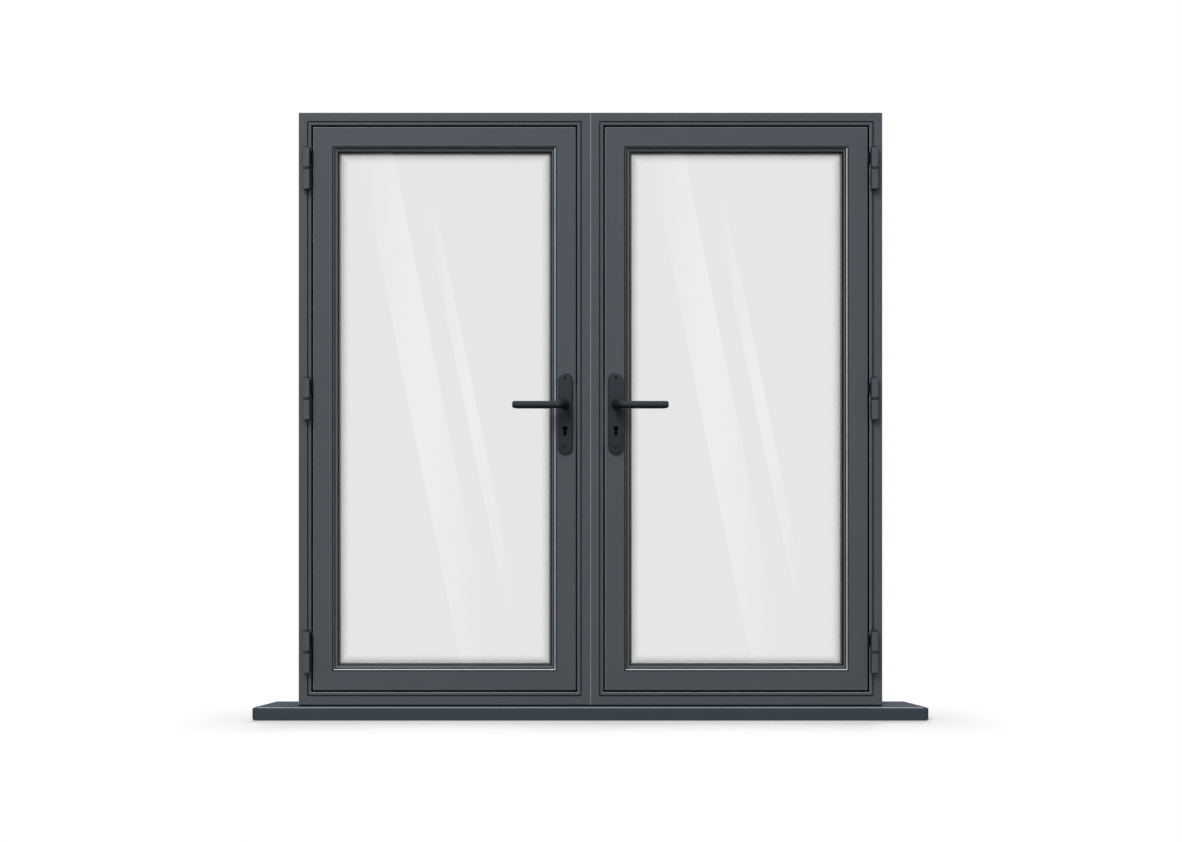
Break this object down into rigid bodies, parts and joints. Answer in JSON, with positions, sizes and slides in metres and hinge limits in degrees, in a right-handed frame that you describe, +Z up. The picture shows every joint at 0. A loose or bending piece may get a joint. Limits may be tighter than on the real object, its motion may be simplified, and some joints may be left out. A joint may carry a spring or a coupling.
{
  "type": "french doors",
  "caption": "Glazed doors hung in frames coupled side by side on a sill, opening outward on knuckle hinges, with lever handles, latches and key-driven dead bolts.",
  "frame": {"origin": "middle of the sill's underside, in the plane of the frames' outside faces", "axes": "+X along the sill to the right seen from outside, +Y from outside to inside, +Z up"},
  "size_m": [2.33, 0.215, 2.1],
  "materials": {
    "profile_coat": "satin",
    "hinge_coat": "satin",
    "pin_coat": "satin",
    "sill_coat": "satin",
    "end_cap_plastic": "matte",
    "handle_coat": "satin",
    "cylinder_coat": "satin",
    "lock_steel": "satin",
    "bare_aluminium": "satin",
    "seal_rubber": "matte",
    "block_plastic": "matte",
    "glass": "polished"
  },
  "bodies": {
    "frames": {"sill": "sill_coat", "sill_seal": "seal_rubber", "frame_coupler": "bare_aluminium", "frame_seals": "seal_rubber", "lock_keeps": "lock_steel", "hinge_pins": "pin_coat", "left_sill_end_cap": "end_cap_plastic", "left_frame_head": "profile_coat", "left_frame_hinge_jamb": "profile_coat", "left_frame_lock_jamb": "profile_coat", "left_frame_threshold": "profile_coat", "left_hinge_frame_knuckles": "hinge_coat", "right_sill_end_cap": "end_cap_plastic", "right_frame_head": "profile_coat", "right_frame_hinge_jamb": "profile_coat", "right_frame_lock_jamb": "profile_coat", "right_frame_threshold": "profile_coat", "right_hinge_frame_knuckles": "hinge_coat"},
    "left_leaf": {"left_hinge_stile": "profile_coat", "left_lock_stile": "profile_coat", "left_top_rail": "profile_coat", "left_bottom_rail": "profile_coat", "left_glazing_beads": "profile_coat", "left_glass_panes": "glass", "left_glass_spacer": "bare_aluminium", "left_glazing_gaskets": "seal_rubber", "left_glazing_blocks": "block_plastic", "left_hinge_leaf_knuckles": "hinge_coat", "left_outside_plate": "handle_coat", "left_inside_plate": "handle_coat", "left_plate_screws": "lock_steel", "left_lock_case": "lock_steel", "left_cylinder_body": "cylinder_coat"},
    "left_levers": {"left_outside_lever": "handle_coat", "left_inside_lever": "handle_coat", "left_spindle": "lock_steel"},
    "left_latch": {"left_latch_bolt": "lock_steel"},
    "left_deadbolt": {"left_dead_bolt": "lock_steel"},
    "left_key_plug": {"left_cylinder_plug": "cylinder_coat"},
    "right_leaf": {"right_hinge_stile": "profile_coat", "right_lock_stile": "profile_coat", "right_top_rail": "profile_coat", "right_bottom_rail": "profile_coat", "right_glazing_beads": "profile_coat", "right_glass_panes": "glass", "right_glass_spacer": "bare_aluminium", "right_glazing_gaskets": "seal_rubber", "right_glazing_blocks": "block_plastic", "right_hinge_leaf_knuckles": "hinge_coat", "right_outside_plate": "handle_coat", "right_inside_plate": "handle_coat", "right_plate_screws": "lock_steel", "right_lock_case": "lock_steel", "right_cylinder_body": "cylinder_coat"},
    "right_levers": {"right_outside_lever": "handle_coat", "right_inside_lever": "handle_coat", "right_spindle": "lock_steel"},
    "right_latch": {"right_latch_bolt": "lock_steel"},
    "right_deadbolt": {"right_dead_bolt": "lock_steel"},
    "right_key_plug": {"right_cylinder_plug": "cylinder_coat"}
  },
  "joints": [
    {"name": "left_leaf_swing", "type": "hinge", "parent": "frames", "child": "left_leaf", "pos_m": [-0.98, -0.0147, 1], "axis": [0, 0, -1], "range_deg": [0, 110]},
    {"name": "left_lever_turn", "type": "hinge", "parent": "left_leaf", "child": "left_levers", "pos_m": [-0.088, 0.035, 1.089], "axis": [0, -1, 0], "range_deg": [0, 45], "stiffness_Nm_per_rad": 1, "springref_deg": -51.57},
    {"name": "left_latch_slide", "type": "slide", "parent": "left_leaf", "child": "left_latch", "axis": [-1, 0, 0], "range_m": [0, 0.0121]},
    {"name": "left_key_turn", "type": "hinge", "parent": "left_leaf", "child": "left_key_plug", "pos_m": [-0.088, 0.035, 1.007], "axis": [0, -1, 0], "range_deg": [0, 360]},
    {"name": "left_deadbolt_slide", "type": "slide", "parent": "left_leaf", "child": "left_deadbolt", "axis": [1, 0, 0], "range_m": [0, 0.02]},
    {"name": "right_leaf_swing", "type": "hinge", "parent": "frames", "child": "right_leaf", "pos_m": [0.98, -0.0147, 1], "axis": [0, 0, 1], "range_deg": [0, 110]},
    {"name": "right_lever_turn", "type": "hinge", "parent": "right_leaf", "child": "right_levers", "pos_m": [0.088, 0.035, 1.089], "axis": [0, 1, 0], "range_deg": [0, 45], "stiffness_Nm_per_rad": 1, "springref_deg": -51.57},
    {"name": "right_latch_slide", "type": "slide", "parent": "right_leaf", "child": "right_latch", "axis": [1, 0, 0], "range_m": [0, 0.0121]},
    {"name": "right_key_turn", "type": "hinge", "parent": "right_leaf", "child": "right_key_plug", "pos_m": [0.088, 0.035, 1.007], "axis": [0, 1, 0], "range_deg": [0, 360]},
    {"name": "right_deadbolt_slide", "type": "slide", "parent": "right_leaf", "child": "right_deadbolt", "axis": [-1, 0, 0], "range_m": [0, 0.02]}
  ],
  "couplings": [
    {"joint": "left_latch_slide", "follows": "left_lever_turn", "m_per_rad": 0.0152},
    {"joint": "left_key_turn", "follows": "left_deadbolt_slide", "rad_per_m": 314.15},
    {"joint": "right_latch_slide", "follows": "right_lever_turn", "m_per_rad": 0.0152},
    {"joint": "right_key_turn", "follows": "right_deadbolt_slide", "rad_per_m": 314.15}
  ]
}
